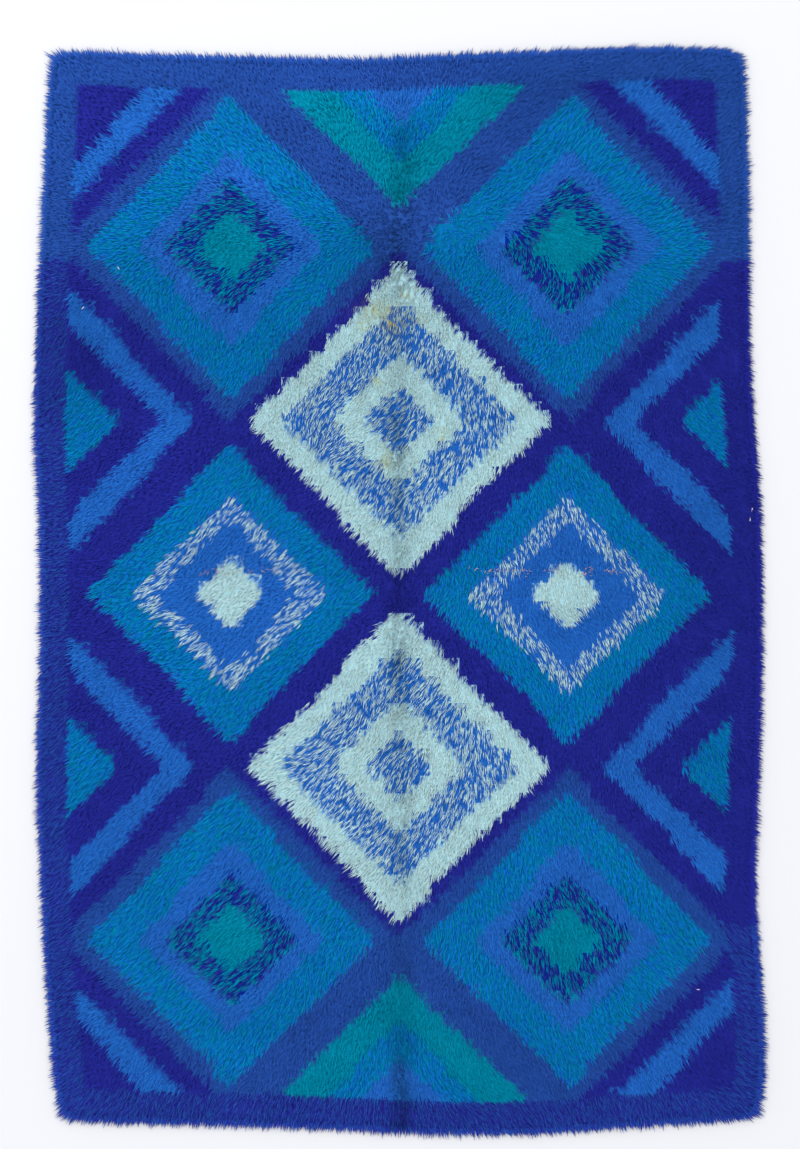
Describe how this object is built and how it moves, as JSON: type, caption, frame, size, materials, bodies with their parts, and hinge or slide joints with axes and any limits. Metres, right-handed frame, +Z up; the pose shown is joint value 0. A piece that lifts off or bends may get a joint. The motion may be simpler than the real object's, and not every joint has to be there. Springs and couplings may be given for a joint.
{
  "type": "wool rug",
  "caption": "Long-pile knotted wool rug, a lumpy rectangular slab of pile with uneven edges and pointed locks of yarn at its rim, lying flat on the floor.",
  "frame": {"origin": "middle of the rug's outline, on the floor under it", "axes": "+Z up out of the pile, +Y along the rug's length, +X across its width"},
  "size_m": [1.6116, 2.3962, 0.0281],
  "materials": {
    "dyed_wool_pile": "matte long pile of twisted wool yarn in several dyed colours"
  },
  "bodies": {
    "root": {"rya_rug": "dyed_wool_pile"}
  },
  "joints": []
}
